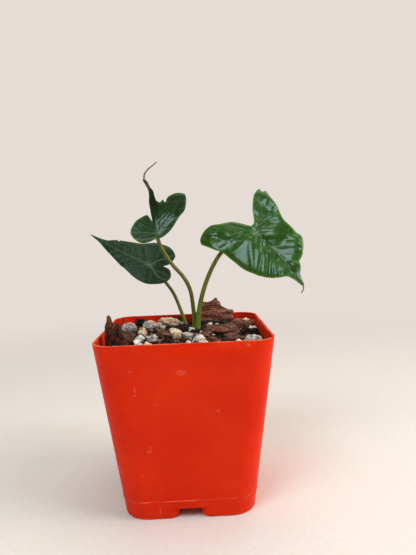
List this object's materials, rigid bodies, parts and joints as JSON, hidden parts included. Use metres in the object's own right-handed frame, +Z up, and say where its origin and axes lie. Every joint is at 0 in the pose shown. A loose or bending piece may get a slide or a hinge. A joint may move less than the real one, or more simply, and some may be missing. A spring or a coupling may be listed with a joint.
{
  "type": "potted alocasia",
  "caption": "Young potted aroid: arrow-shaped leaves on slim petioles, rooted in bark and pumice mix in a square tapered nursery pot with feet and drain holes.",
  "frame": {"origin": "middle of the whole part's bounding box seen from above, at the height of the pot's feet; the pot's own axis stands at x = -7.4 mm, y = 0", "axes": "+Z up; +X to the right as seen from the front, towards the biggest leaf; -Y is the front, where the leaves face"},
  "size_m": [0.1356, 0.1, 0.2041],
  "materials": {
    "pot_plastic": "moulded polypropylene, orange-red, satin, faint mould lines",
    "potting_mix": "damp dark bark fines and fibre, matt and crumbly",
    "bark": "reddish brown pine bark, rough, layered, matt",
    "charred_bark": "damp dark bark and charcoal, rough, matt",
    "pumice_grey": "grey pumice, pitted, matt",
    "pumice_cream": "cream to tan pumice and gravel, pitted, matt",
    "perlite_white": "white expanded perlite, pitted, matt",
    "petiole_green": "living stalk, yellow-green, smooth, satin",
    "leaf_green_glossy": "living leaf, deep green, glossy, pale veins",
    "leaf_green_satin": "living leaf, bluish dark green, satin, pale veins and specks",
    "corm_brown": "corm and roots, tan, matt"
  },
  "bodies": {
    "root": {"pot": "pot_plastic", "leaf_blade_right": "leaf_green_glossy", "petiole_right": "petiole_green", "leaf_blade_left": "leaf_green_satin", "petiole_left": "petiole_green", "leaf_blade_middle": "leaf_green_glossy", "petiole_middle": "petiole_green", "corm_and_roots": "corm_brown", "bark_slab_back": "bark", "bark_spike_left": "bark", "bark_chunk_left": "bark", "bark_flake_right": "bark", "bark_flake_far_right": "bark", "bark_flake_low_right": "charred_bark", "bark_strip_dark": "charred_bark", "bark_flake_front": "bark", "bark_dark_middle": "charred_bark", "bark_red_front": "bark", "bark_crumb_back": "charred_bark", "charcoal_left": "charred_bark", "bark_curl_front": "bark", "stone_grey_left": "pumice_grey", "stone_tan_back": "pumice_cream", "stone_cream_front": "pumice_cream", "stone_grey_left_small": "pumice_grey", "stone_cream_left": "pumice_cream", "stone_white_left": "perlite_white", "stone_white_left_front": "perlite_white", "stone_grey_middle": "pumice_grey", "stone_tan_middle": "pumice_cream", "stone_flat_front": "pumice_cream", "stone_grey_crumb": "pumice_grey", "perlite_right_back": "perlite_white", "stone_grey_right": "pumice_grey", "perlite_right_front": "perlite_white", "perlite_crumb_right": "perlite_white", "stone_tan_right": "pumice_cream", "perlite_front": "perlite_white", "stone_grey_front": "pumice_grey", "perlite_crumb_front": "perlite_white", "stone_tan_front": "pumice_cream", "perlite_front_low": "perlite_white", "bark_front_left": "bark", "bark_front_right": "bark", "bark_side_left": "bark", "bark_back_left": "bark", "bark_back_right": "charred_bark", "stone_front_corner": "pumice_grey", "stone_back_corner": "pumice_cream", "perlite_right_side": "perlite_white", "potting_mix": "potting_mix"}
  },
  "joints": []
}
